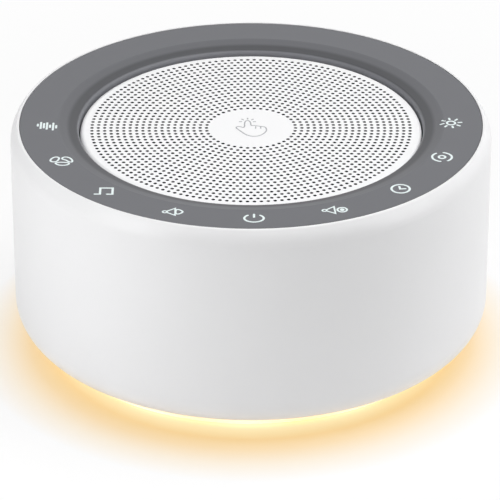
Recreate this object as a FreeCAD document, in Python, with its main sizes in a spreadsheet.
import FreeCAD, Part
import math
import os
import re
import Sketcher

# White noise sound machine: a white drum with a grey touch ring around a perforated speaker grille,
# and a frosted night light ring under its bottom edge.
# Millimetres. The origin is the middle of the footprint on the table, +Z is up,
# -Y is the front with the power key, +Y is the rear with the power inlet.

Vector = FreeCAD.Vector
Z_DIRECTION = Vector(0, 0, 1)

# Driving dimensions: name, value, what it is
DRIVING = [
    ("body_dia", 105.0, "outside diameter of the drum shell"),
    ("total_height", 51.0, "table to the top of the control ring"),
    ("foot_gap", 3.4, "table to the underside of the drum shell"),
    ("shell_wall", 2.0, "wall of the drum shell"),
    ("shoulder_wide", 1.55, "rounded shoulder, measured inwards"),
    ("shoulder_tall", 3.85, "rounded shoulder, measured down"),
    ("rim_round", 0.25, "small round at the top of the shoulder"),
    ("bottom_round", 6.4, "rounding of the drum's bottom edge"),
    ("shell_opening_dia", 81.6, "opening in the drum's floor"),
    ("rib_count", 8, "ribs inside the drum that carry the deck"),
    ("rib_wide", 2.0, "width of a rib"),
    ("rib_deep", 2.2, "how far a rib stands into the drum"),
    ("ring_gap", 0.1, "control ring to the drum's wall"),
    ("ring_thick", 1.8, "plate of the control ring"),
    ("ring_skirt", 1.5, "both skirts of the control ring"),
    ("ring_round", 0.9, "rounded inner edge of the control ring"),
    ("dish_dia", 84.2, "where the control ring's top starts to slope towards the grille"),
    ("dish_deep", 1.1, "drop of that slope at the ring's inner edge"),
    ("ring_edge", 0.15, "broken outer edge of the control ring"),
    ("grille_dia", 74.6, "outside diameter of the speaker grille"),
    ("grille_gap", 0.25, "speaker grille to the control ring"),
    ("grille_drop", 1.9, "speaker grille below the control ring's top"),
    ("grille_sheet", 0.6, "sheet of the speaker grille"),
    ("grille_round", 1.0, "rounded edge of the speaker grille"),
    ("hole_pitch", 1.389, "spacing of the grille's rings of holes"),
    ("hole_dia", 0.78, "hole in the grille"),
    ("first_hole_ring", 7, "innermost ring of holes, six holes for each step outwards"),
    ("last_hole_ring", 25, "outermost ring of holes"),
    ("cloth_dia", 72.0, "black cloth under the grille"),
    ("cloth_thick", 0.25, "cloth"),
    ("glue_gap", 0.05, "film of glue"),
    ("deck_gap", 0.3, "deck to the drum's wall"),
    ("deck_thick", 2.0, "deck plate"),
    ("deck_hole_dia", 53.0, "deck's opening over the speaker cone"),
    ("leg_dia", 6.0, "deck's leg"),
    ("leg_circle_dia", 66.4, "circle of the four legs, their screws and the feet"),
    ("leg_hole_deep", 9.0, "screw hole in a leg"),
    ("pad_tall", 2.4, "touch pad, from the touch board to the control ring's underside"),
    ("touch_board_thick", 1.2, "touch board"),
    ("touch_board_dia", 95.6, "touch board, outside"),
    ("touch_board_hole", 59.0, "touch board, inside"),
    ("key_count", 9, "touch keys, each with a pad under it"),
    ("key_step", 22.0, "degrees from one key to the next"),
    ("pad_circle_dia", 88.6, "circle of the touch pads"),
    ("pad_dia", 5.0, "touch pad"),
    ("contact_turn", 45.0, "degrees from the x axis to the contact strip"),
    ("contact_wide", 3.0, "contact strip between touch board and grille"),
    ("contact_sheet", 0.2, "contact strip's sheet"),
    ("contact_tall", 1.3, "contact strip's height"),
    ("gasket_thick", 1.0, "foam gasket under the deck"),
    ("flange_dia", 59.0, "speaker's flange"),
    ("frame_sheet", 1.0, "speaker frame's sheet"),
    ("frame_upper_dia", 50.0, "frame's upper wall, outside"),
    ("frame_lower_dia", 39.2, "frame's lower wall, outside"),
    ("ledge_drop", 6.1, "flange top to the ledge that carries the spider"),
    ("frame_deep", 12.6, "flange top to the underside of the frame"),
    ("ear_circle_dia", 62.0, "circle of the speaker's screws"),
    ("ear_wide", 6.5, "ear of the speaker's flange"),
    ("ear_reach", 3.2, "ear beyond its screw"),
    ("window_count", 6, "windows in the speaker frame"),
    ("window_wide", 11.0, "frame window"),
    ("window_rest", 0.8, "sheet left above and below a window"),
    ("cone_rim_dia", 43.2, "cone's outer edge"),
    ("cone_rim_wide", 1.2, "flat at the cone's edge"),
    ("cone_paper", 0.4, "cone's paper"),
    ("cone_deep", 5.0, "cone's rim to its neck"),
    ("cone_travel", 1.5, "cone's travel each way"),
    ("surround_roll", 1.75, "radius of the surround's half roll"),
    ("surround_rubber", 0.35, "surround's rubber"),
    ("lip_wide", 1.0, "glued lips of the surround"),
    ("former_dia", 19.9, "voice coil former, outside"),
    ("former_wall", 0.2, "voice coil former's wall"),
    ("winding_thick", 0.4, "voice coil's winding"),
    ("coil_running_gap", 0.35, "voice coil to the magnet's gap walls"),
    ("spider_cloth", 0.3, "spider's cloth"),
    ("spider_waves", 3, "spider's corrugations"),
    ("spider_wave_tall", 0.45, "height of a corrugation"),
    ("spider_dia", 43.0, "spider, outside"),
    ("cap_dia", 23.2, "dust cap"),
    ("cap_rise", 2.8, "dust cap's dome"),
    ("cap_thick", 0.3, "dust cap"),
    ("top_plate_thick", 3.0, "magnet's top plate"),
    ("magnet_thick", 6.4, "ferrite ring"),
    ("magnet_dia", 42.0, "ferrite ring, outside"),
    ("magnet_hole", 24.0, "ferrite ring, inside"),
    ("top_plate_dia", 39.0, "magnet's top plate, outside"),
    ("yoke_dia", 40.0, "yoke plate"),
    ("yoke_thick", 2.5, "yoke plate"),
    ("terminal_wide", 10.0, "terminal board of the speaker"),
    ("terminal_deep", 5.0, "terminal board of the speaker"),
    ("plate_flange_thick", 0.8, "base plate's thin edge"),
    ("plate_thick", 2.0, "base plate"),
    ("plate_gap", 0.2, "base plate to the light ring"),
    ("plate_rest", 1.0, "table to the underside of the base plate"),
    ("light_dia", 91.2, "light ring, outside"),
    ("light_rebate_dia", 83.4, "light ring's rebate for the base plate"),
    ("light_upstand_wall", 2.4, "light ring's upstand"),
    ("light_upstand_tall", 3.4, "light ring's upstand over the drum's underside"),
    ("light_edge", 0.5, "rounded lower edge of the light ring"),
    ("upstand_gap", 0.2, "light ring to the drum's opening"),
    ("foot_dia", 9.0, "rubber foot"),
    ("foot_thick", 1.8, "rubber foot"),
    ("foot_round", 0.4, "rounded edge of a foot"),
    ("foot_recess_gap", 0.1, "rubber foot to its recess"),
    ("boss_dia", 8.0, "base plate's screw boss"),
    ("boss_tall", 3.0, "base plate's screw boss"),
    ("screw_gap", 0.05, "screw to its hole, all round"),
    ("large_screw", 2.2, "screw that holds the base plate"),
    ("large_head", 4.2, "its head"),
    ("large_head_tall", 1.6, "its head"),
    ("large_screw_long", 8.0, "its thread"),
    ("head_gap", 0.2, "screw head to its counterbore, all round"),
    ("small_screw", 2.0, "screw that holds a board"),
    ("small_head", 3.6, "its head"),
    ("small_head_tall", 1.2, "its head"),
    ("small_screw_long", 4.0, "its thread"),
    ("speaker_screw_long", 3.4, "thread of the screw that holds the speaker"),
    ("post_dia", 4.6, "screw post"),
    ("led_board_thick", 1.2, "light board"),
    ("led_board_dia", 91.2, "light board, outside"),
    ("led_board_hole", 74.0, "light board, inside"),
    ("led_post_circle_dia", 86.8, "circle of the light board's screws"),
    ("led_post_angle", 30.0, "degrees from the X axis to a light board screw"),
    ("led_count", 12, "light emitting diodes"),
    ("led_side", 3.5, "light emitting diode"),
    ("led_tall", 1.3, "light emitting diode"),
    ("led_gap", 0.1, "light emitting diodes to the light ring"),
    ("main_board_long", 52.0, "main board"),
    ("main_board_wide", 34.0, "main board"),
    ("main_board_thick", 1.6, "main board"),
    ("standoff_tall", 3.0, "standoff under the main board"),
    ("standoff_inset", 2.5, "standoff to the main board's edges"),
    ("usb_board_long", 18.0, "power inlet's board, along X"),
    ("usb_board_wide", 9.0, "power inlet's board, along Y"),
    ("usb_board_thick", 1.0, "power inlet's board"),
    ("usb_board_rear", 49.0, "middle of the drum to the rear edge of the inlet's board"),
    ("usb_screw_offset", 6.7, "inlet board's screws, along X"),
    ("usb_screw_inset", 1.7, "inlet board's screws from its rear edge"),
    ("usb_post_dia", 3.6, "inlet board's posts"),
    ("usb_post_tall", 5.6, "inlet board's posts over the drum's floor"),
    ("usb_wide", 8.94, "power inlet's shell"),
    ("usb_tall", 3.26, "power inlet's shell"),
    ("usb_deep", 7.35, "power inlet's shell"),
    ("usb_sheet", 0.3, "power inlet's sheet"),
    ("usb_recess", 0.5, "power inlet below the drum's surface"),
    ("usb_tongue_wide", 6.7, "tongue in the power inlet"),
    ("usb_tongue_thick", 0.7, "tongue in the power inlet"),
    ("usb_tongue_long", 4.5, "tongue in the power inlet"),
    ("usb_cavity_deep", 6.2, "power inlet's cavity"),
    ("usb_slot_gap", 0.17, "power inlet to the slot in the drum"),
    ("socket_long", 6.0, "two-way lead socket"),
    ("socket_deep", 3.4, "two-way lead socket"),
    ("socket_tall", 4.0, "two-way lead socket"),
    ("socket_inset", 1.2, "socket to its board's edge"),
    ("ribbon_socket_long", 12.0, "ribbon socket"),
    ("ribbon_socket_deep", 2.4, "ribbon socket"),
    ("ribbon_socket_tall", 2.6, "ribbon socket"),
    ("ribbon_wide", 10.0, "flat ribbon"),
    ("ribbon_thick", 0.3, "flat ribbon"),
    ("ribbon_offset", 38.0, "middle of the drum to the ribbon"),
    ("ribbon_drop", 14.0, "straight run of the ribbon under the touch board's socket"),
    ("ribbon_rise", 9.0, "straight run of the ribbon over the main board's socket"),
    ("touch_chip_side", 6.0, "touch chip"),
    ("touch_chip_thick", 0.9, "touch chip"),
    ("touch_chip_inset", 0.3, "touch chip to the touch board's inner edge"),
    ("sound_chip_side", 7.0, "sound chip"),
    ("sound_chip_thick", 1.4, "sound chip"),
    ("sound_chip_x", -4.0, "sound chip's middle"),
    ("memory_chip_long", 6.0, "memory chip"),
    ("memory_chip_wide", 5.0, "memory chip"),
    ("memory_chip_thick", 1.6, "memory chip"),
    ("memory_chip_x", -15.0, "memory chip's middle"),
    ("chip_row_y", 5.0, "row of the sound and memory chips"),
    ("amplifier_long", 6.0, "amplifier chip"),
    ("amplifier_wide", 4.0, "amplifier chip"),
    ("amplifier_thick", 1.5, "amplifier chip"),
    ("amplifier_x", 5.0, "amplifier chip's middle"),
    ("amplifier_y", -5.0, "amplifier chip's middle"),
    ("can_dia", 6.3, "capacitor"),
    ("can_gap", 3.5, "capacitors to the magnet's yoke"),
    ("can_x", 14.0, "row of the capacitors"),
    ("can_front_y", -10.5, "front capacitor's middle"),
    ("can_rear_y", 3.5, "rear capacitor's middle"),
    ("tag_wide", 1.6, "solder tag"),
    ("tag_thick", 0.4, "solder tag"),
    ("tag_inset", 0.5, "solder tag to its board's edges"),
    ("tag_pitch", 4.8, "spacing of the solder tags"),
    ("lead_dia", 1.2, "one wire of a lead"),
    ("lead_pitch", 2.0, "spacing of a lead's two wires"),
]

# Worked out from the driving dimensions: name, formula
WORKED_OUT = [
    ("body_r", "body_dia / 2"),
    ("bore_r", "body_r - shell_wall"),
    ("rim_r", "body_r - shoulder_wide"),
    ("shoulder_z", "total_height - shoulder_tall"),
    ("shell_floor_z", "foot_gap + shell_wall"),
    ("opening_r", "shell_opening_dia / 2"),
    ("rib_foot_z", "foot_gap + bottom_round"),
    ("rib_tip_r", "bore_r - rib_deep"),
    ("ring_r", "bore_r - ring_gap"),
    ("ring_under", "total_height - ring_thick"),
    ("dish_r", "dish_dia / 2"),
    ("dish_foot_z", "total_height - dish_deep"),
    ("grille_r", "grille_dia / 2"),
    ("ring_inner_r", "grille_r + grille_gap"),
    ("grille_top", "total_height - grille_drop"),
    ("cloth_top", "grille_top - grille_sheet - glue_gap"),
    ("touch_top", "ring_under - pad_tall"),
    ("deck_top", "touch_top - touch_board_thick"),
    ("deck_under", "deck_top - deck_thick"),
    ("deck_r", "bore_r - deck_gap"),
    ("deck_hole_r", "deck_hole_dia / 2"),
    ("leg_circle_r", "leg_circle_dia / 2"),
    ("ear_circle_r", "ear_circle_dia / 2"),
    ("flange_top", "deck_under - gasket_thick"),
    ("flange_under", "flange_top - frame_sheet"),
    ("flange_r", "flange_dia / 2"),
    ("upper_wall_r", "frame_upper_dia / 2"),
    ("lower_wall_r", "frame_lower_dia / 2"),
    ("ledge_top", "flange_top - ledge_drop"),
    ("ledge_under", "ledge_top - frame_sheet"),
    ("frame_under", "flange_top - frame_deep"),
    ("former_r", "former_dia / 2"),
    ("winding_r", "former_r + winding_thick"),
    ("gap_outer_r", "winding_r + coil_running_gap"),
    ("pole_r", "former_r - former_wall - coil_running_gap"),
    ("plate_top_under", "frame_under - top_plate_thick"),
    ("magnet_under", "plate_top_under - magnet_thick"),
    ("yoke_under", "magnet_under - yoke_thick"),
    ("cone_rim_r", "cone_rim_dia / 2"),
    ("cone_rim_top", "flange_top"),
    ("cone_fall_r", "cone_rim_r - cone_rim_wide"),
    ("cone_neck_r", "former_r + glue_gap"),
    ("cone_neck_top", "cone_rim_top - cone_deep"),
    ("cone_slope", "cone_deep / (cone_fall_r - cone_neck_r)"),
    ("roll_outer_r", "cone_rim_r + 2 * surround_roll"),
    ("former_top", "cone_neck_top + 2 * cone_paper"),
    ("winding_tall", "top_plate_thick + 2 * cone_travel"),
    ("winding_under", "frame_under - top_plate_thick / 2 - winding_tall / 2"),
    ("spider_r", "spider_dia / 2"),
    ("spider_hole_r", "former_r + glue_gap"),
    ("cap_r", "cap_dia / 2"),
    ("cap_z", "cone_neck_top + cone_slope * (cap_r - cone_neck_r) + glue_gap"),
    ("plate_flange_top", "plate_rest + plate_flange_thick"),
    ("plate_top", "plate_rest + plate_thick"),
    ("light_r", "light_dia / 2"),
    ("light_rebate_r", "light_rebate_dia / 2"),
    ("upstand_r", "opening_r - upstand_gap"),
    ("upstand_inner_r", "upstand_r - light_upstand_wall"),
    ("upstand_top", "foot_gap + light_upstand_tall"),
    ("plate_r", "light_rebate_r - plate_gap"),
    ("plate_core_r", "upstand_inner_r - plate_gap"),
    ("leg_foot_z", "plate_top + boss_tall"),
    ("head_seat_z", "leg_foot_z - large_head_tall"),
    ("led_top", "upstand_top + led_gap + led_tall"),
    ("led_board_top", "led_top + led_board_thick"),
    ("led_board_r", "led_board_dia / 2"),
    ("led_board_hole_r", "led_board_hole / 2"),
    ("led_post_r", "led_post_circle_dia / 2"),
    ("led_circle_r", "upstand_r - light_upstand_wall / 2"),
    ("main_board_under", "plate_top + standoff_tall"),
    ("main_board_top", "main_board_under + main_board_thick"),
    ("can_tall", "yoke_under - can_gap - main_board_top"),
    ("standoff_x", "main_board_long / 2 - standoff_inset"),
    ("standoff_y", "main_board_wide / 2 - standoff_inset"),
    ("usb_board_under", "shell_floor_z + usb_post_tall"),
    ("usb_board_top", "usb_board_under + usb_board_thick"),
    ("usb_screw_y", "usb_board_rear - usb_screw_inset"),
    ("usb_middle_z", "usb_board_top + usb_tall / 2"),
    ("usb_mouth_y", "body_r - usb_recess"),
    ("usb_back_y", "usb_mouth_y - usb_deep"),
    ("lead_face_x", "main_board_long / 2 - socket_inset"),
    ("lead_face_y", "main_board_wide / 2 - socket_inset"),
    ("lead_socket_x", "lead_face_x - socket_deep / 2"),
    ("lead_socket_y", "lead_face_y - socket_deep / 2"),
    ("lead_entry_z", "main_board_top + socket_tall / 2"),
]

doc = FreeCAD.newDocument("sound_machine")
home = {}


def new_sheet(name, rows, as_text):
    """Fills a sheet with named cells and notes which sheet each name is in."""
    sheet = doc.addObject("Spreadsheet::Sheet", name)
    for number, row in enumerate(rows, start=1):
        sheet.set(f"A{number}", row[0])
        sheet.set(f"B{number}", as_text(row[1]))
        sheet.setAlias(f"B{number}", row[0])
        home[row[0]] = sheet
    return sheet


def formula(text):
    """The text with each named dimension led by its sheet, as the document's formulas need it."""
    return re.sub(
        r"[a-z][a-z_0-9]*",
        lambda word: f"{home[word[0]].Name}.{word[0]}" if word[0] in home else word[0],
        text,
    )


def mm(name):
    """A named dimension as a number."""
    return float(home[name].get(name))


new_sheet("Sizes", DRIVING, str)
new_sheet("Places", WORKED_OUT, lambda text: "=" + formula(text))
doc.recompute()

parts = []


def keep(piece, name):
    """Names a finished sub-part."""
    piece.Label = name
    parts.append(piece)
    return piece


def bind(thing, **formulas):
    """Ties properties to formulas. In a property's name two underscores stand for a dot."""
    for name, text in formulas.items():
        thing.setExpression(name.replace("__", "."), formula(text))
    return thing


# Sketches and solids of revolution


def new_body(name):
    return doc.addObject("PartDesign::Body", name)


def origin_part(body, role):
    return next(thing for thing in body.Origin.OriginFeatures if thing.Role == role)


def new_sketch(body, name, plane="XY_Plane", height=None, turn=0):
    """A sketch on one of the body's own planes, raised to a named height and turned about Z."""
    sketch = body.newObject("Sketcher::SketchObject", name)
    sketch.AttachmentSupport = [(origin_part(body, plane), "")]
    sketch.MapMode = "FlatFace"
    sketch.AttachmentOffset = FreeCAD.Placement(Vector(0, 0, 0), FreeCAD.Rotation(Z_DIRECTION, turn))
    if height:
        sketch.setExpression("AttachmentOffset.Base.z", formula(height))
    return sketch


def place_point(sketch, geometry, point, start, across, up):
    """Ties a point of the sketch to its distances from the sketch's origin."""
    for kind, value, text in (("DistanceX", start.x, across), ("DistanceY", start.y, up)):
        number = sketch.addConstraint(Sketcher.Constraint(kind, -1, 1, geometry, point, value))
        sketch.setExpression(f"Constraints[{number}]", formula(text))


def closed_outline(sketch, corners):
    """Straight sides through corners that are given as formulas."""
    count = len(corners)
    first = sketch.GeometryCount
    spread = [
        Vector(30 + 10 * math.cos(math.tau * i / count), 10 * math.sin(math.tau * i / count), 0)
        for i in range(count)
    ]
    for i in range(count):
        sketch.addGeometry(Part.LineSegment(spread[i], spread[(i + 1) % count]))
    for i in range(count):
        sketch.addConstraint(Sketcher.Constraint("Coincident", first + i, 2, first + (i + 1) % count, 1))
    for i, (across, up) in enumerate(corners):
        place_point(sketch, first + i, 1, spread[i], across, up)


def circle(sketch, across, up, radius):
    """A circle whose middle and radius are given as formulas."""
    number = sketch.addGeometry(Part.Circle(Vector(3, 3, 0), Z_DIRECTION, 1))
    place_point(sketch, number, 3, Vector(3, 3, 0), across, up)
    constraint = sketch.addConstraint(Sketcher.Constraint("Radius", number, 1))
    sketch.setExpression(f"Constraints[{constraint}]", formula(radius))


def revolve(body, name, corners):
    """Turns an outline of (radius, height) corners about the Z axis."""
    sketch = new_sketch(body, name + "_outline", "XZ_Plane")
    closed_outline(sketch, corners)
    feature = body.newObject("PartDesign::Revolution", name)
    feature.Profile = sketch
    feature.ReferenceAxis = (sketch, ["V_Axis"])
    feature.Angle = 360
    return feature


def rectangle(inner, outer, low, high):
    return [(inner, low), (outer, low), (outer, high), (inner, high)]


def pad(body, name, sketch, height, downwards=False):
    feature = body.newObject("PartDesign::Pad", name)
    feature.Profile = sketch
    feature.setExpression("Length", formula(height))
    feature.Reversed = downwards
    return feature


def pocket(body, name, sketch, depth, upwards=False):
    """Cuts from the sketch, downwards unless told otherwise, and makes sure that it cut something."""
    doc.recompute()
    before = body.Shape.Volume
    feature = body.newObject("PartDesign::Pocket", name)
    feature.Profile = sketch
    feature.Reversed = upwards
    if depth:
        feature.setExpression("Length", formula(depth))
    else:
        feature.Type = "ThroughAll"
    doc.recompute()
    if body.Shape.Volume >= before:
        raise ValueError(f"{name} cuts nothing")
    return feature


def around(body, feature, count):
    """Repeats a feature around the Z axis."""
    pattern = body.newObject("PartDesign::PolarPattern", feature.Name + "_around")
    pattern.Originals = [feature]
    pattern.Axis = (origin_part(body, "Z_Axis"), [""])
    pattern.Angle = 360
    pattern.setExpression("Occurrences", formula(count))
    body.Tip = pattern
    return pattern


def round_edges(body, name, edges, radius):
    """Rounds the circular edges whose radius and height are given by name."""
    doc.recompute()
    base = body.Tip
    wanted = [(mm(r), mm(z)) for r, z in edges]
    found = [
        f"Edge{number}"
        for number, edge in enumerate(base.Shape.Edges, start=1)
        if isinstance(edge.Curve, Part.Circle)
        and any(math.hypot(edge.Curve.Radius - r, edge.Curve.Center.z - z) < 0.01 for r, z in wanted)
    ]
    feature = body.newObject("PartDesign::Fillet", name)
    feature.Base = (base, found)
    feature.setExpression("Radius", formula(radius))
    return feature


def turned(name, corners):
    """A sub-part that is one solid of revolution."""
    body = new_body(name)
    revolve(body, name + "_turned", corners)
    return keep(body, name)


def on_circle(radius, degrees):
    """Formulas for a point on a circle."""
    return f"{radius} * cos({degrees} * 1 deg)", f"{radius} * sin({degrees} * 1 deg)"


# Drum shell: a white cup with a rounded bottom edge, a soft shoulder, ribs that carry the deck,
# posts for the light board and the inlet's board, and the inlet's slot at the rear


def drum_shell():
    body = new_body("drum_shell")
    outline = new_sketch(body, "shell_outline", "XZ_Plane")
    bore, rim, outside = mm("bore_r"), mm("rim_r"), mm("body_r")
    top, shoulder, under, floor = mm("total_height"), mm("shoulder_z"), mm("foot_gap"), mm("shell_floor_z")
    opening = mm("opening_r")
    shoulder_r = (mm("shoulder_wide") ** 2 + mm("shoulder_tall") ** 2) / (2 * mm("shoulder_wide"))
    sweep = math.asin(mm("shoulder_tall") / shoulder_r)
    corners = [
        (outside, shoulder, "body_r", "shoulder_z"),
        (outside, under, "body_r", "foot_gap"),
        (opening, under, "opening_r", "foot_gap"),
        (opening, floor, "opening_r", "shell_floor_z"),
        (bore, floor, "bore_r", "shell_floor_z"),
        (bore, top, "bore_r", "total_height"),
        (rim, top, "rim_r", "total_height"),
    ]
    points = [Vector(across, up, 0) for across, up, _, _ in corners]
    for start, end in zip(points, points[1:], strict=False):
        outline.addGeometry(Part.LineSegment(start, end))
    arc = outline.addGeometry(
        Part.ArcOfCircle(
            Part.Circle(Vector(outside - shoulder_r, shoulder, 0), Z_DIRECTION, shoulder_r), 0, sweep
        )
    )
    for number in range(len(points) - 2):
        outline.addConstraint(Sketcher.Constraint("Coincident", number, 2, number + 1, 1))
    outline.addConstraint(Sketcher.Constraint("Coincident", arc, 2, arc - 1, 2))
    outline.addConstraint(Sketcher.Constraint("Tangent", arc, 1, 0, 1))
    for number, (_, _, across, up) in enumerate(corners[:-1]):
        place_point(outline, number, 1, points[number], across, up)
    place_point(outline, arc - 1, 2, points[-1], corners[-1][2], corners[-1][3])
    cup = body.newObject("PartDesign::Revolution", "shell_cup")
    cup.Profile = outline
    cup.ReferenceAxis = (outline, ["V_Axis"])
    cup.Angle = 360
    round_edges(body, "outer_round", [("body_r", "foot_gap")], "bottom_round")
    round_edges(body, "inner_round", [("bore_r", "shell_floor_z")], "bottom_round - shell_wall")
    round_edges(body, "rim_edge", [("rim_r", "total_height")], "rim_round")

    half_step = 180 / mm("rib_count")
    rib = new_sketch(body, "rib_outline", height="rib_foot_z", turn=half_step)
    closed_outline(
        rib, rectangle("rib_tip_r", "bore_r + shell_wall / 2", "-rib_wide / 2", "rib_wide / 2")
    )
    around(body, pad(body, "rib", rib, "deck_under - rib_foot_z"), "rib_count")

    posts = new_sketch(body, "led_post_outline", height="shell_floor_z - shell_wall / 2")
    holes = new_sketch(body, "led_post_hole_outline", height="led_top")
    for degrees in LED_POST_ANGLES:
        circle(posts, *on_circle("led_post_r", degrees), "post_dia / 2")
        circle(holes, *on_circle("led_post_r", degrees), "small_screw / 2 + screw_gap")
    pad(body, "led_posts", posts, "led_top - shell_floor_z + shell_wall / 2")
    pocket(body, "led_post_holes", holes, "led_top - shell_floor_z")

    posts = new_sketch(body, "usb_post_outline", height="shell_floor_z - shell_wall / 2")
    holes = new_sketch(body, "usb_post_hole_outline", height="usb_board_under")
    for side in ("", "-"):
        circle(posts, side + "usb_screw_offset", "usb_screw_y", "usb_post_dia / 2")
        circle(holes, side + "usb_screw_offset", "usb_screw_y", "small_screw / 2 + screw_gap")
    pad(body, "usb_posts", posts, "usb_board_under - shell_floor_z + shell_wall / 2")
    pocket(body, "usb_post_holes", holes, "small_screw_long")

    half_tall = "(usb_tall / 2 + usb_slot_gap)"
    half_wide = "((usb_wide - usb_tall) / 2)"
    slot = new_sketch(body, "usb_slot_outline", "XZ_Plane")
    low, high = f"usb_middle_z - {half_tall}", f"usb_middle_z + {half_tall}"
    closed_outline(slot, rectangle("-" + half_wide, half_wide, low, high))
    pocket(body, "usb_slot", slot, None)
    ends = new_sketch(body, "usb_slot_end_outline", "XZ_Plane")
    for side in ("", "-"):
        circle(ends, side + half_wide, "usb_middle_z", half_tall)
    pocket(body, "usb_slot_ends", ends, None)
    return keep(body, "drum_shell")


LED_POST_ANGLES = [
    "led_post_angle",
    "(180 - led_post_angle)",
    "(180 + led_post_angle)",
    "(-led_post_angle)",
]


# Deck: the inner frame. It lies on the drum's ribs, carries the touch board and the speaker,
# and its four legs stand on the base plate's bosses, where the base screws pull them down


def top_deck():
    body = new_body("top_deck")
    revolve(body, "deck_plate", rectangle("deck_hole_r", "deck_r", "deck_under", "deck_top"))
    leg = new_sketch(body, "leg_outline", height="leg_foot_z")
    circle(leg, *on_circle("leg_circle_r", "45"), "leg_dia / 2")
    around(body, pad(body, "leg", leg, "deck_under + deck_thick / 2 - leg_foot_z"), "4")
    hole = new_sketch(body, "leg_hole_outline", height="leg_foot_z")
    circle(hole, *on_circle("leg_circle_r", "45"), "large_screw / 2 + screw_gap")
    around(body, pocket(body, "leg_hole", hole, "leg_hole_deep", upwards=True), "4")
    boss = new_sketch(body, "ear_boss_outline", height="flange_top")
    circle(boss, "ear_circle_r", "0", "post_dia / 2")
    around(body, pad(body, "ear_boss", boss, "gasket_thick + deck_thick / 2"), "4")
    hole = new_sketch(body, "ear_hole_outline", height="flange_top")
    circle(hole, "ear_circle_r", "0", "small_screw / 2 + screw_gap")
    around(body, pocket(body, "ear_hole", hole, "speaker_screw_long - frame_sheet", upwards=True), "4")
    window = new_sketch(body, "ribbon_window_outline", height="deck_top")
    reach = "ribbon_socket_deep / 2 + plate_gap"
    half = "ribbon_socket_long / 2 + plate_gap"
    closed_outline(
        window,
        rectangle(
            f"-ribbon_offset - ({reach})", f"-ribbon_offset + {reach}", f"-({half})", half
        ),
    )
    pocket(body, "ribbon_window", window, "deck_thick")
    return keep(body, "top_deck")


# Control ring: the grey plate with the touch keys. Its outer skirt stands on the deck
# and its inner skirt on the touch board, around the grille


def control_ring():
    body = new_body("control_ring")
    revolve(
        body,
        "ring_plate",
        [
            ("ring_inner_r", "touch_top"),
            ("ring_inner_r + ring_skirt", "touch_top"),
            ("ring_inner_r + ring_skirt", "ring_under"),
            ("ring_r - ring_skirt", "ring_under"),
            ("ring_r - ring_skirt", "deck_top"),
            ("ring_r", "deck_top"),
            ("ring_r", "total_height"),
            ("dish_r", "total_height"),
            ("ring_inner_r", "dish_foot_z"),
        ],
    )
    round_edges(body, "ring_inner_round", [("ring_inner_r", "dish_foot_z")], "ring_round")
    round_edges(body, "ring_outer_edge", [("ring_r", "total_height")], "ring_edge")
    return keep(body, "control_ring")


# Speaker grille: a shallow steel cap. Its holes lie on rings, six more on each ring than on the
# one inside it, and the middle is left plain for a touch key. It is built ring by ring and sewn


def hole_band(number, pitch, hole_r, low, sheet):
    """Faces of one ring of the sheet with its holes, without the walls it shares with its neighbours."""
    outer_r, inner_r = (number + 0.5) * pitch, (number - 0.5) * pitch
    outer = Part.Wire(Part.makeCircle(outer_r, Vector(0, 0, low)))
    inner = Part.Wire(Part.makeCircle(inner_r, Vector(0, 0, low)))
    inner.reverse()
    wires = [outer, inner]
    for i in range(6 * number):
        turn = math.tau * i / (6 * number)
        middle = Vector(number * pitch * math.cos(turn), number * pitch * math.sin(turn), low)
        hole = Part.Wire(Part.makeCircle(hole_r, middle))
        hole.reverse()
        wires.append(hole)
    band = Part.Face(wires).extrude(Vector(0, 0, sheet))
    return [face for face in band.Faces if not is_wall(face, outer_r) and not is_wall(face, inner_r)]


def is_wall(face, radius):
    return isinstance(face.Surface, Part.Cylinder) and abs(face.Surface.Radius - radius) < 1e-6


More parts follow.
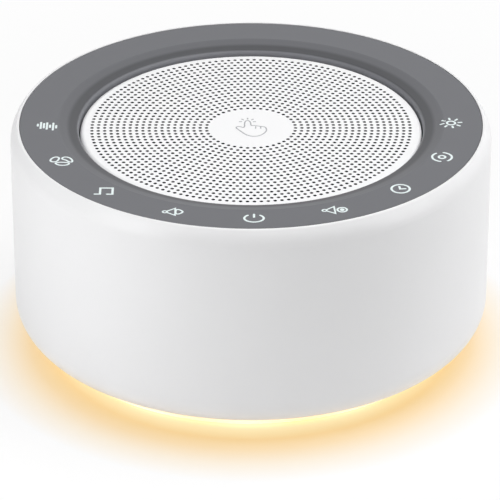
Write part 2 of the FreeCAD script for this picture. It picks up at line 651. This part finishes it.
def speaker_grille():
    pitch, hole_r, sheet = mm("hole_pitch"), mm("hole_dia") / 2, mm("grille_sheet")
    top, foot, outside, edge = mm("grille_top"), mm("touch_top"), mm("grille_r"), mm("grille_round")
    low = top - sheet
    first, last = round(mm("first_hole_ring")), round(mm("last_hole_ring"))
    middle_r, rim_r = (first - 0.5) * pitch, (last + 0.5) * pitch
    faces = []
    for number in range(first, last + 1):
        faces += hole_band(number, pitch, hole_r, low, sheet)
    middle = Part.makeCylinder(middle_r, sheet, Vector(0, 0, low))
    faces += [face for face in middle.Faces if not is_wall(face, middle_r)]
    inner_edge = edge - sheet / 2
    half_turn = Vector(math.sin(math.pi / 4), 0, math.cos(math.pi / 4))
    outer_middle = Vector(outside - edge, 0, top - edge)
    inner_middle = Vector(outside - sheet - inner_edge, 0, low - inner_edge)
    outline = Part.Wire(
        [
            Part.makeLine(Vector(rim_r, 0, low), Vector(rim_r, 0, top)),
            Part.makeLine(Vector(rim_r, 0, top), Vector(outside - edge, 0, top)),
            Part.Arc(
                Vector(outside - edge, 0, top),
                outer_middle + half_turn * edge,
                Vector(outside, 0, top - edge),
            ).toShape(),
            Part.makeLine(Vector(outside, 0, top - edge), Vector(outside, 0, foot)),
            Part.makeLine(Vector(outside, 0, foot), Vector(outside - sheet, 0, foot)),
            Part.makeLine(Vector(outside - sheet, 0, foot), Vector(outside - sheet, 0, inner_middle.z)),
            Part.Arc(
                Vector(outside - sheet, 0, inner_middle.z),
                inner_middle + half_turn * inner_edge,
                Vector(inner_middle.x, 0, low),
            ).toShape(),
            Part.makeLine(Vector(inner_middle.x, 0, low), Vector(rim_r, 0, low)),
        ]
    )
    rim = Part.Face(outline).revolve(Vector(0, 0, 0), Z_DIRECTION, 360)
    faces += [face for face in rim.Faces if not is_wall(face, rim_r)]
    skin = Part.makeCompound(faces)
    skin.sewShape()
    shell = skin if skin.ShapeType == "Shell" else skin.Shells[0]
    solid = Part.Solid(shell)
    if solid.Volume < 0:
        solid.reverse()
    print("speaker_grille holes", sum(6 * number for number in range(first, last + 1)))
    return shaped("speaker_grille", solid)


def shaped(name, shape):
    """A sub-part whose shape is made from the named dimensions in code."""
    piece = doc.addObject("Part::Feature", name)
    piece.Shape = shape
    piece.Placement = FreeCAD.Placement()
    return keep(piece, name)


# Primitives


def cylinder(name, radius, height, across="0", along="0", base="0"):
    piece = doc.addObject("Part::Cylinder", name)
    bind(piece, Radius=radius, Height=height)
    return bind(piece, Placement__Base__x=across, Placement__Base__y=along, Placement__Base__z=base)


def block(name, long, wide, tall, across="0", along="0", base="0", turn="0"):
    """A box centred on its place, standing on its base and turned about Z."""
    piece = doc.addObject("Part::Box", name)
    bind(piece, Length=long, Width=wide, Height=tall)
    shift_x = f"({across}) - ({long}) / 2 * cos({turn} * 1 deg) + ({wide}) / 2 * sin({turn} * 1 deg)"
    shift_y = f"({along}) - ({long}) / 2 * sin({turn} * 1 deg) - ({wide}) / 2 * cos({turn} * 1 deg)"
    bind(piece, Placement__Base__x=shift_x, Placement__Base__y=shift_y, Placement__Base__z=base)
    piece.Placement.Rotation = FreeCAD.Rotation(Z_DIRECTION, 0)
    return bind(piece, Placement__Rotation__Angle=f"{turn} * 1 deg")


def group(name, pieces):
    """Separate solids that share one node."""
    piece = doc.addObject("Part::Compound", name)
    piece.Links = pieces
    return keep(piece, name)


def less(name, base, tools):
    """The base with the tools cut out of it, one after another."""
    for number, tool in enumerate(tools, start=1):
        cut = doc.addObject("Part::Cut", f"{name}_cut_{number}")
        cut.Base, cut.Tool = base, tool
        base = cut
    return base


def merged(name, pieces):
    fused = doc.addObject("Part::MultiFuse", name)
    fused.Shapes = pieces
    return fused


# Fasteners: pan heads with a cross recess over plain shanks, as groups of equal screws.
# These shares of the head or shank shape every screw

HEAD_BEVEL = 0.35
RECESS_LONG = 1.1
RECESS_WIDE = 0.24
RECESS_DEEP = 0.5
TIP = 0.5


def screws(name, places, seat, screw, head, head_tall, long, heads_up=True):
    """Equal screws at the given places, with their heads on a seat at the named height."""
    shank_r, head_r, tall, reach = mm(screw) / 2, mm(head) / 2, mm(head_tall), mm(long)
    bevel = tall * HEAD_BEVEL
    outline = Part.makePolygon(
        [
            Vector(0, 0, -reach),
            Vector(shank_r * TIP, 0, -reach),
            Vector(shank_r, 0, -reach + shank_r * TIP),
            Vector(shank_r, 0, 0),
            Vector(head_r, 0, 0),
            Vector(head_r, 0, tall - bevel),
            Vector(head_r - bevel, 0, tall),
            Vector(0, 0, tall),
            Vector(0, 0, -reach),
        ]
    )
    one = Part.Face(outline).revolve(Vector(0, 0, 0), Z_DIRECTION, 360)
    slot_long, slot_wide, slot_deep = head_r * RECESS_LONG, head_r * RECESS_WIDE, tall * RECESS_DEEP
    for long_x, long_y in ((slot_long, slot_wide), (slot_wide, slot_long)):
        corner = Vector(-long_x / 2, -long_y / 2, tall - slot_deep)
        one = one.cut(Part.makeBox(long_x, long_y, slot_deep, corner))
    copies = []
    for across, along in places:
        copy = one.copy()
        if not heads_up:
            copy.rotate(Vector(0, 0, 0), Vector(1, 0, 0), 180)
        copy.translate(Vector(across, along, mm(seat)))
        copies.append(copy)
    return shaped(name, Part.makeCompound(copies))


def ring_of_places(radius, degrees):
    return [
        (radius * math.cos(math.radians(turn)), radius * math.sin(math.radians(turn)))
        for turn in degrees
    ]


# Touch electronics: the board on the deck, one foam pad under each key, the strip that meets
# the grille, the touch chip and the ribbon's socket under the board


def touch_board():
    return turned(
        "touch_board",
        rectangle("touch_board_hole / 2", "touch_board_dia / 2", "deck_top", "touch_top"),
    )


def touch_pads():
    """Columns of conductive foam, one under each key, from the touch board up to the control ring."""
    pads = []
    for key in range(round(mm("key_count"))):
        turn = f"(-90 + ({key} - (key_count - 1) / 2) * key_step)"
        across, along = on_circle("pad_circle_dia / 2", turn)
        pads.append(cylinder(f"pad_{key + 1}", "pad_dia / 2", "pad_tall", across, along, "touch_top"))
    return group("touch_pads", pads)


def grille_contact_spring():
    sheet, tall, wide = mm("contact_sheet"), mm("contact_tall"), mm("contact_wide")
    base = mm("touch_top")
    wall = mm("grille_r") - mm("grille_sheet") - mm("glue_gap")
    foot = wall - 3 * tall / 2
    bend = wall - tall / 2
    outline = Part.makePolygon(
        [
            Vector(foot, -wide / 2, base),
            Vector(bend, -wide / 2, base),
            Vector(wall, -wide / 2, base + tall),
            Vector(wall - sheet, -wide / 2, base + tall),
            Vector(bend - sheet, -wide / 2, base + sheet),
            Vector(foot, -wide / 2, base + sheet),
            Vector(foot, -wide / 2, base),
        ]
    )
    strip = Part.Face(outline).extrude(Vector(0, wide, 0))
    strip.rotate(Vector(0, 0, 0), Z_DIRECTION, mm("contact_turn"))
    return shaped("grille_contact_spring", strip)


def touch_chip():
    return keep(
        block(
            "touch_chip",
            "touch_chip_side",
            "touch_chip_side",
            "touch_chip_thick",
            along="-(touch_board_hole / 2 + touch_chip_inset + touch_chip_side / 2)",
            base="touch_top",
        ),
        "touch_chip",
    )


def grille_cloth():
    return keep(
        cylinder("grille_cloth", "cloth_dia / 2", "cloth_thick", base="cloth_top - cloth_thick"),
        "grille_cloth",
    )


# Speaker: pressed frame on a foam gasket, rubber surround, paper cone with its dust cap and voice
# coil, corrugated spider, and the magnet with its two steel plates


def speaker_frame():
    body = new_body("speaker_frame")
    revolve(
        body,
        "frame_pressing",
        [
            ("gap_outer_r + glue_gap", "frame_under"),
            ("lower_wall_r", "frame_under"),
            ("lower_wall_r", "ledge_under"),
            ("upper_wall_r", "ledge_under"),
            ("upper_wall_r", "flange_under"),
            ("flange_r", "flange_under"),
            ("flange_r", "flange_top"),
            ("upper_wall_r - frame_sheet", "flange_top"),
            ("upper_wall_r - frame_sheet", "ledge_top"),
            ("lower_wall_r - frame_sheet", "ledge_top"),
            ("lower_wall_r - frame_sheet", "frame_under + frame_sheet"),
            ("gap_outer_r + glue_gap", "frame_under + frame_sheet"),
        ],
    )
    ear = new_sketch(body, "ear_outline", height="flange_under")
    closed_outline(
        ear,
        rectangle(
            "flange_r - frame_sheet", "ear_circle_r + ear_reach", "-ear_wide / 2", "ear_wide / 2"
        ),
    )
    around(body, pad(body, "ear", ear, "frame_sheet"), "4")
    hole = new_sketch(body, "ear_screw_outline", height="flange_top")
    circle(hole, "ear_circle_r", "0", "small_screw / 2 + 2 * screw_gap")
    around(body, pocket(body, "ear_screw_hole", hole, "frame_sheet"), "4")
    levels = (
        ("upper", "flange_under", "ledge_top", "upper_wall_r"),
        ("lower", "ledge_under", "frame_under + frame_sheet", "lower_wall_r"),
    )
    for name, high, low, wall in levels:
        half_step = 180 / mm("window_count")
        window = new_sketch(body, f"{name}_window_outline", height=f"{high} - window_rest", turn=half_step)
        closed_outline(
            window,
            rectangle(
                f"{wall} - 2 * frame_sheet",
                f"{wall} + frame_sheet",
                "-window_wide / 2",
                "window_wide / 2",
            ),
        )
        deep = f"{high} - ({low}) - 2 * window_rest"
        around(body, pocket(body, f"{name}_window", window, deep), "window_count")
    return keep(body, "speaker_frame")


def speaker_gasket():
    return turned(
        "speaker_gasket", rectangle("deck_hole_r", "flange_r - frame_sheet", "flange_top", "deck_under")
    )


def arched_strip(points, thick):
    """A closed outline whose top follows arcs through the points and whose foot lies straight under it."""
    top, low = [], []
    down = Vector(0, 0, -thick)
    for start, middle, end in points:
        if middle is None:
            top.append(Part.makeLine(start, end))
            low.append(Part.makeLine(start + down, end + down))
        else:
            top.append(Part.Arc(start, middle, end).toShape())
            low.append(Part.Arc(start + down, middle + down, end + down).toShape())
    first, last = points[0][0], points[-1][2]
    sides = [Part.makeLine(first, first + down), Part.makeLine(last, last + down)]
    return Part.Face(Part.Wire(Part.sortEdges(top + low + sides)[0]))


def speaker_surround():
    roll, rubber, lip = mm("surround_roll"), mm("surround_rubber"), mm("lip_wide")
    inner_r, outer_r = mm("cone_rim_r"), mm("roll_outer_r")
    seat = mm("flange_top") + rubber
    runs = [
        (Vector(inner_r - lip, 0, seat), None, Vector(inner_r, 0, seat)),
        (
            Vector(inner_r, 0, seat),
            Vector(inner_r + roll, 0, seat + roll),
            Vector(outer_r, 0, seat),
        ),
        (Vector(outer_r, 0, seat), None, Vector(outer_r + lip, 0, seat)),
    ]
    face = arched_strip(runs, rubber)
    return shaped("speaker_surround", face.revolve(Vector(0, 0, 0), Z_DIRECTION, 360))


def speaker_spider():
    cloth, waves, tall = mm("spider_cloth"), round(mm("spider_waves")), mm("spider_wave_tall")
    hole_r, outside, lip = mm("spider_hole_r"), mm("spider_r"), mm("lip_wide")
    seat = mm("ledge_top") + cloth
    inner_r = hole_r + lip
    outer_r = mm("lower_wall_r") - mm("frame_sheet")
    half = (outer_r - inner_r) / (2 * waves)
    runs = [(Vector(hole_r, 0, seat), None, Vector(inner_r, 0, seat))]
    for number in range(2 * waves):
        start = inner_r + number * half
        crest = tall if number % 2 == 0 else -tall
        runs.append(
            (
                Vector(start, 0, seat),
                Vector(start + half / 2, 0, seat + crest),
                Vector(start + half, 0, seat),
            )
        )
    runs.append((Vector(outer_r, 0, seat), None, Vector(outside, 0, seat)))
    face = arched_strip(runs, cloth)
    return shaped("speaker_spider", face.revolve(Vector(0, 0, 0), Z_DIRECTION, 360))


def speaker_cone():
    return turned(
        "speaker_cone",
        [
            ("cone_neck_r", "cone_neck_top - cone_paper"),
            ("cone_fall_r", "cone_rim_top - cone_paper"),
            ("cone_rim_r", "cone_rim_top - cone_paper"),
            ("cone_rim_r", "cone_rim_top"),
            ("cone_fall_r", "cone_rim_top"),
            ("cone_neck_r", "cone_neck_top"),
        ],
    )


def dust_cap():
    outside, rise, thick, foot = mm("cap_r"), mm("cap_rise"), mm("cap_thick"), mm("cap_z")
    dome_r = (outside**2 + rise**2) / (2 * rise)
    middle = Vector(0, 0, foot + rise - dome_r)
    outer = Part.makeSphere(dome_r, middle)
    inner = Part.makeSphere(dome_r - thick, middle)
    skin = outer.cut(inner)
    above = Part.makeCylinder(2 * outside, 2 * dome_r, Vector(0, 0, foot))
    return shaped("dust_cap", skin.common(above))


def voice_coil():
    return turned(
        "voice_coil",
        [
            ("former_r - former_wall", "winding_under"),
            ("winding_r", "winding_under"),
            ("winding_r", "winding_under + winding_tall"),
            ("former_r", "winding_under + winding_tall"),
            ("former_r", "former_top"),
            ("former_r - former_wall", "former_top"),
        ],
    )


def magnet_top_plate():
    return turned(
        "magnet_top_plate",
        rectangle("gap_outer_r", "top_plate_dia / 2", "plate_top_under", "frame_under"),
    )


def magnet_ring():
    return turned(
        "magnet_ring", rectangle("magnet_hole / 2", "magnet_dia / 2", "magnet_under", "plate_top_under")
    )


def magnet_yoke():
    plate = cylinder("yoke_plate", "yoke_dia / 2", "yoke_thick", base="yoke_under")
    pole = cylinder("yoke_pole", "pole_r", "frame_under - magnet_under", base="magnet_under")
    vent = cylinder("yoke_vent", "pole_r / 3", "frame_under - yoke_under + 2", base="yoke_under - 1")
    return keep(less("yoke", merged("yoke_forging", [plate, pole]), [vent]), "magnet_yoke")


def speaker_terminals():
    """A small board against the frame's front, with two folded solder tags."""
    inner = "(upper_wall_r + screw_gap)"
    board = block(
        "terminal_board",
        "terminal_wide",
        "terminal_deep",
        "frame_sheet",
        along=f"-({inner} + terminal_deep / 2)",
        base="ledge_under",
    )
    pieces = [board]
    for number, side in enumerate(("", "-"), start=1):
        pieces.append(
            block(
                f"solder_tag_{number}",
                "tag_wide",
                "terminal_deep - 2 * tag_inset",
                "tag_thick",
                across=f"{side}tag_pitch / 2",
                along=f"-({inner} + terminal_deep / 2)",
                base="ledge_top",
            )
        )
    return group("speaker_terminals", pieces)


# Night light: the frosted ring that shows under the drum, the board over it with its diodes
# facing down, and the board's lead socket


def light_ring():
    body = new_body("light_ring")
    revolve(
        body,
        "light_moulding",
        [
            ("light_rebate_r", "plate_rest"),
            ("light_r", "plate_rest"),
            ("light_r", "foot_gap"),
            ("upstand_r", "foot_gap"),
            ("upstand_r", "upstand_top"),
            ("upstand_inner_r", "upstand_top"),
            ("upstand_inner_r", "plate_flange_top"),
            ("light_rebate_r", "plate_flange_top"),
        ],
    )
    round_edges(body, "light_lower_edge", [("light_r", "plate_rest")], "light_edge")
    return keep(body, "light_ring")


def led_board():
    body = new_body("led_board")
    revolve(
        body,
        "led_board_plate",
        rectangle("led_board_hole_r", "led_board_r", "led_top", "led_board_top"),
    )
    holes = new_sketch(body, "led_board_holes_outline", height="led_board_top")
    for degrees in LED_POST_ANGLES:
        circle(holes, *on_circle("led_post_r", degrees), "small_screw / 2 + 2 * screw_gap")
    pocket(body, "led_board_holes", holes, "led_board_thick")
    return keep(body, "led_board")


def night_leds():
    step = 360 / mm("led_count")
    pieces = []
    for number in range(round(mm("led_count"))):
        turn = f"{(number + 0.5) * step:g}"
        across, along = on_circle("led_circle_r", turn)
        pieces.append(
            block(
                f"led_{number + 1}",
                "led_side",
                "led_side",
                "led_tall",
                across=across,
                along=along,
                base="led_top - led_tall",
                turn=turn,
            )
        )
    return group("night_leds", pieces)


# Base: the plate that closes the drum, its rubber feet and its screws


def base_plate():
    body = new_body("base_plate")
    revolve(
        body,
        "plate_disc",
        [
            ("0", "plate_rest"),
            ("plate_r", "plate_rest"),
            ("plate_r", "plate_flange_top"),
            ("plate_core_r", "plate_flange_top"),
            ("plate_core_r", "plate_top"),
            ("0", "plate_top"),
        ],
    )
    spot = on_circle("leg_circle_r", "45")
    boss = new_sketch(body, "boss_outline", height="plate_top - plate_thick / 2")
    circle(boss, *spot, "boss_dia / 2")
    around(body, pad(body, "boss", boss, "boss_tall + plate_thick / 2"), "4")
    standoffs = new_sketch(body, "standoff_outline", height="plate_top - plate_thick / 2")
    standoff_holes = new_sketch(body, "standoff_hole_outline", height="main_board_under")
    for side_x in ("", "-"):
        for side_y in ("", "-"):
            place = (side_x + "standoff_x", side_y + "standoff_y")
            circle(standoffs, *place, "post_dia / 2")
            circle(standoff_holes, *place, "small_screw / 2 + screw_gap")
    pad(body, "standoffs", standoffs, "standoff_tall + plate_thick / 2")
    pocket(body, "standoff_holes", standoff_holes, "small_screw_long - main_board_thick + screw_gap")
    recess = new_sketch(body, "foot_recess_outline", height="plate_rest")
    circle(recess, *spot, "foot_dia / 2 + foot_recess_gap")
    around(body, pocket(body, "foot_recess", recess, "foot_thick - plate_rest", upwards=True), "4")
    bore = new_sketch(body, "counterbore_outline", height="plate_rest")
    circle(bore, *spot, "large_head / 2 + head_gap")
    around(body, pocket(body, "counterbore", bore, "head_seat_z - plate_rest", upwards=True), "4")
    hole = new_sketch(body, "base_screw_outline", height="plate_rest")
    circle(hole, *spot, "large_screw / 2 + 2 * screw_gap")
    around(body, pocket(body, "base_screw_hole", hole, "leg_foot_z - plate_rest", upwards=True), "4")
    return keep(body, "base_plate")


def rubber_feet():
    feet = []
    for number, degrees in enumerate(("45", "135", "225", "315"), start=1):
        across, along = on_circle("leg_circle_r", degrees)
        pill = cylinder(f"foot_pad_{number}", "foot_dia / 2", "foot_thick", across, along)
        doc.recompute()
        foot = doc.addObject("Part::Fillet", f"foot_{number}")
        foot.Base = pill
        lower = [
            index
            for index, edge in enumerate(pill.Shape.Edges, start=1)
            if isinstance(edge.Curve, Part.Circle) and edge.Curve.Center.z < mm("foot_thick") / 2
        ]
        foot.Edges = [(index, mm("foot_round"), mm("foot_round")) for index in lower]
        feet.append(foot)
    return group("rubber_feet", feet)


# Main board with its chips, capacitors and lead sockets


def board_with_holes(name, long, wide, thick, along, base, places, drill):
    plate = block(f"{name}_blank", long, wide, thick, along=along, base=base)
    holes = [
        cylinder(f"{name}_hole_{number}", drill, f"{thick} + 2", across, up, f"{base} - 1")
        for number, (across, up) in enumerate(places, start=1)
    ]
    return keep(less(name, plate, holes), name)


def main_board():
    places = [(x + "standoff_x", y + "standoff_y") for x in ("", "-") for y in ("", "-")]
    return board_with_holes(
        "main_board",
        "main_board_long",
        "main_board_wide",
        "main_board_thick",
        "0",
        "main_board_under",
        places,
        "small_screw / 2 + 2 * screw_gap",
    )


def chip(name, long, wide, tall, across, along):
    return keep(block(name, long, wide, tall, across, along, "main_board_top"), name)


def capacitors():
    cans = [
        cylinder(f"can_{number}", "can_dia / 2", "can_tall", "can_x", along, "main_board_top")
        for number, along in enumerate(("can_front_y", "can_rear_y"), start=1)
    ]
    return group("capacitors", cans)


def lead_sockets():
    """Two-way sockets on the main board's front, rear and right edges, and the ribbon's on its left."""
    top = "main_board_top"
    long, deep, tall = "socket_long", "socket_deep", "socket_tall"
    pieces = [
        block("front_socket", long, deep, tall, along="-lead_socket_y", base=top),
        block("rear_socket", long, deep, tall, along="lead_socket_y", base=top),
        block("right_socket", deep, long, tall, across="lead_socket_x", base=top),
        block(
            "ribbon_socket",
            "ribbon_socket_deep",
            "ribbon_socket_long",
            "ribbon_socket_tall",
            across="-lead_socket_x",
            base=top,
        ),
    ]
    return group("board_sockets", pieces)


# Power inlet: a small board on two posts behind the drum's wall, with the inlet's shell in the slot


def usb_board():
    places = [(side + "usb_screw_offset", "usb_screw_y") for side in ("", "-")]
    return board_with_holes(
        "usb_board",
        "usb_board_long",
        "usb_board_wide",
        "usb_board_thick",
        "usb_board_rear - usb_board_wide / 2",
        "usb_board_under",
        places,
        "small_screw / 2 + 2 * screw_gap",
    )


def stadium_block(name, wide, tall, near, long):
    """A bar with round sides that runs along Y from a named place, as a hull of its two side cylinders."""
    pieces = []
    for number, side in enumerate(("-", ""), start=1):
        bar = doc.addObject("Part::Cylinder", f"{name}_side_{number}")
        bind(bar, Radius=f"({tall}) / 2", Height=long)
        bar.Placement.Rotation = FreeCAD.Rotation(Vector(1, 0, 0), -90)
        bind(
            bar,
            Placement__Base__x=f"{side}(({wide}) - ({tall})) / 2",
            Placement__Base__y=near,
            Placement__Base__z="usb_middle_z",
        )
        pieces.append(bar)
    middle = block(
        f"{name}_middle",
        f"({wide}) - ({tall})",
        long,
        tall,
        along=f"{near} + ({long}) / 2",
        base=f"usb_middle_z - ({tall}) / 2",
    )
    return merged(name, pieces + [middle])


def usb_socket():
    shell = stadium_block("inlet_shell", "usb_wide", "usb_tall", "usb_back_y", "usb_deep")
    inside = stadium_block(
        "inlet_cavity",
        "usb_wide - 2 * usb_sheet",
        "usb_tall - 2 * usb_sheet",
        "usb_mouth_y - usb_cavity_deep",
        "usb_cavity_deep + 1",
    )
    hollow = less("inlet", shell, [inside])
    tongue = block(
        "inlet_tongue",
        "usb_tongue_wide",
        "usb_tongue_long + 0.5",
        "usb_tongue_thick",
        along="usb_mouth_y - usb_cavity_deep - 0.5 + (usb_tongue_long + 0.5) / 2",
        base="usb_middle_z - usb_tongue_thick / 2",
    )
    return keep(merged("inlet_whole", [hollow, tongue]), "usb_socket")


def side_sockets():
    """The lead sockets on the light board, at its right, and on the inlet's board, at its front edge."""
    light = block(
        "led_lead_socket",
        "socket_deep",
        "socket_long",
        "socket_tall",
        across="led_board_hole_r + socket_inset + socket_deep / 2",
        base="led_board_top",
    )
    inlet = block(
        "power_lead_socket",
        "socket_long",
        "socket_deep",
        "socket_tall",
        along="usb_board_rear - usb_board_wide + socket_deep / 2",
        base="usb_board_top",
    )
    keep(light, "led_socket")
    return keep(inlet, "power_socket")


# Leads: straight runs joined by tangent arcs, one tube for each wire


def route_wire(points):
    """A path through the points whose arcs take 0.45 of the shorter run beside each corner."""
    edges, radii = [], []
    here = points[0]
    for before, corner, after in zip(points, points[1:], points[2:], strict=False):
        arrive, leave = corner - before, after - corner
        half = arrive.getAngle(leave) / 2
        setback = 0.45 * min(arrive.Length, leave.Length)
        radius = setback / math.tan(half)
        start = corner - arrive.normalize() * setback
        end = corner + leave.normalize() * setback
        middle_way = ((start + end) * 0.5 - corner).normalize()
        middle = corner + middle_way * (radius / math.cos(half) - radius)
        edges.append(Part.LineSegment(here, start).toShape())
        edges.append(Part.Arc(start, middle, end).toShape())
        radii.append(round(radius, 1))
        here = end
    edges.append(Part.LineSegment(here, points[-1]).toShape())
    return Part.Wire(edges), radii


def swept(points, section):
    wire, radii = route_wire(points)
    tube = wire.makePipeShell([section], True, False)
    return tube, wire.Length, radii


def wire_pair(name, routes):
    """Two wires side by side, each along its own route."""
    radius = mm("lead_dia") / 2
    tubes = []
    for points in routes:
        section = Part.Wire(Part.makeCircle(radius, points[0], points[1] - points[0]))
        tube, length, radii = swept(points, section)
        share = tube.Volume / (math.pi * radius**2 * length)
        print(name, "length", round(length, 1), "radii", radii, "volume share", round(share, 4))
        tubes.append(tube)
    return shaped(name, Part.makeCompound(tubes))


def pair_of_routes(name, route):
    """The same route for both wires of a lead, half a pitch to each side of its middle."""
    half = mm("lead_pitch") / 2
    return wire_pair(name, [route(-half), route(half)])


def front_lead():
    """Solder tags of the speaker down to the front socket of the main board."""
    start_y = -(mm("upper_wall_r") + mm("screw_gap") + mm("terminal_deep") / 2)
    start_z = mm("ledge_under") - mm("screw_gap")
    end_y, end_z = -mm("lead_face_y"), mm("lead_entry_z")

    def route(side):
        return [
            Vector(side, start_y, start_z),
            Vector(side, start_y, start_z - 9),
            Vector(side, start_y - 1.2, end_z + 8.5),
            Vector(side, end_y - 7.5, end_z),
            Vector(side, end_y, end_z),
        ]

    return pair_of_routes("speaker_lead", route)


def rear_lead():
    """Inlet's board to the rear socket of the main board."""
    start_y = mm("usb_board_rear") - mm("usb_board_wide")
    start_z = mm("usb_board_top") + mm("socket_tall") / 2
    end_y, end_z = mm("lead_face_y"), mm("lead_entry_z")

    def route(side):
        return [
            Vector(side, start_y, start_z),
            Vector(side, start_y - 6, start_z),
            Vector(side, start_y - 12.5, start_z - 2.6),
            Vector(side, end_y + 5.5, end_z),
            Vector(side, end_y, end_z),
        ]

    return pair_of_routes("power_lead", route)


def right_lead():
    """Light board to the right socket of the main board."""
    start_x = mm("led_board_hole_r") + mm("socket_inset")
    start_z = mm("led_board_top") + mm("socket_tall") / 2
    end_x, end_z = mm("lead_face_x"), mm("lead_entry_z")

    def route(side):
        return [
            Vector(start_x, side, start_z),
            Vector(start_x - 4, side, start_z),
            Vector(end_x + 4, side, end_z),
            Vector(end_x, side, end_z),
        ]

    return pair_of_routes("led_lead", route)


def touch_ribbon():
    """Flat ribbon from the touch board's socket down to the main board's left socket."""
    thick, wide, offset = mm("ribbon_thick"), mm("ribbon_wide"), mm("ribbon_offset")
    start_z = mm("deck_top") - mm("ribbon_socket_tall")
    end_x = -mm("lead_socket_x")
    end_z = mm("main_board_top") + mm("ribbon_socket_tall")
    points = [
        Vector(-offset, 0, start_z),
        Vector(-offset, 0, start_z - mm("ribbon_drop")),
        Vector(end_x, 0, end_z + mm("ribbon_rise")),
        Vector(end_x, 0, end_z),
    ]
    corners = [(-thick, -wide), (thick, -wide), (thick, wide), (-thick, wide), (-thick, -wide)]
    section = Part.makePolygon(
        [Vector(-offset + across / 2, along / 2, start_z) for across, along in corners]
    )
    strip, length, radii = swept(points, Part.Wire(section))
    share = strip.Volume / (thick * wide * length)
    print("touch_ribbon length", round(length, 1), "radii", radii, "volume share", round(share, 4))
    return shaped("touch_ribbon", strip)


def touch_socket():
    return keep(
        block(
            "touch_socket",
            "ribbon_socket_deep",
            "ribbon_socket_long",
            "ribbon_socket_tall",
            across="-ribbon_offset",
            base="deck_top - ribbon_socket_tall",
        ),
        "touch_socket",
    )


# The whole machine, from the outside in

drum_shell()
top_deck()
control_ring()
speaker_grille()
grille_cloth()
touch_board()
touch_pads()
grille_contact_spring()
touch_chip()
touch_socket()

speaker_frame()
speaker_gasket()
speaker_surround()
speaker_cone()
dust_cap()
voice_coil()
speaker_spider()
magnet_top_plate()
magnet_ring()
magnet_yoke()
speaker_terminals()

light_ring()
led_board()
night_leds()
base_plate()
rubber_feet()
main_board()
chip("sound_chip", "sound_chip_side", "sound_chip_side", "sound_chip_thick", "sound_chip_x", "chip_row_y")
chip(
    "memory_chip",
    "memory_chip_wide",
    "memory_chip_long",
    "memory_chip_thick",
    "memory_chip_x",
    "chip_row_y",
)
chip(
    "amplifier_chip",
    "amplifier_long",
    "amplifier_wide",
    "amplifier_thick",
    "amplifier_x",
    "amplifier_y",
)
capacitors()
lead_sockets()
usb_board()
usb_socket()
side_sockets()

ear_angles = [0, 90, 180, 270]
leg_angles = [45, 135, 225, 315]
led_angles = [mm("led_post_angle"), 180 - mm("led_post_angle")]
led_angles += [180 + mm("led_post_angle"), -mm("led_post_angle")]
LARGE = ("large_screw", "large_head", "large_head_tall", "large_screw_long")
SMALL = ("small_screw", "small_head", "small_head_tall", "small_screw_long")
SPEAKER = ("small_screw", "small_head", "small_head_tall", "speaker_screw_long")
corners_of_board = [(x * mm("standoff_x"), y * mm("standoff_y")) for x in (-1, 1) for y in (-1, 1)]
inlet_places = [(x * mm("usb_screw_offset"), mm("usb_screw_y")) for x in (-1, 1)]
leg_places = ring_of_places(mm("leg_circle_r"), leg_angles)
screws("base_screws", leg_places, "head_seat_z", *LARGE, heads_up=False)
ear_places = ring_of_places(mm("ear_circle_r"), ear_angles)
screws("speaker_screws", ear_places, "flange_under", *SPEAKER, heads_up=False)
screws("led_board_screws", ring_of_places(mm("led_post_r"), led_angles), "led_board_top", *SMALL)
screws("main_board_screws", corners_of_board, "main_board_top", *SMALL)
screws("usb_board_screws", inlet_places, "usb_board_top", *SMALL)

front_lead()
rear_lead()
right_lead()
touch_ribbon()

doc.recompute()

# Every object is sound before anything is written
for thing in doc.Objects:
    if "Invalid" in thing.State or "Error" in thing.State:
        raise ValueError(f"{thing.Name} failed: {thing.State}")
for piece in parts:
    if piece.Shape.isNull() or not piece.Shape.isValid():
        raise ValueError(f"{piece.Label} has no valid shape")

os.makedirs("parts", exist_ok=True)
for piece in parts:
    piece.Shape.exportStep(f"parts/{piece.Label}.step")
    box = piece.Shape.BoundBox
    print(
        f"{piece.Label}: {len(piece.Shape.Solids)} solids, {piece.Shape.Volume:.1f} mm3,",
        f"z {box.ZMin:.2f} to {box.ZMax:.2f}",
    )
print(len(parts), "nodes")
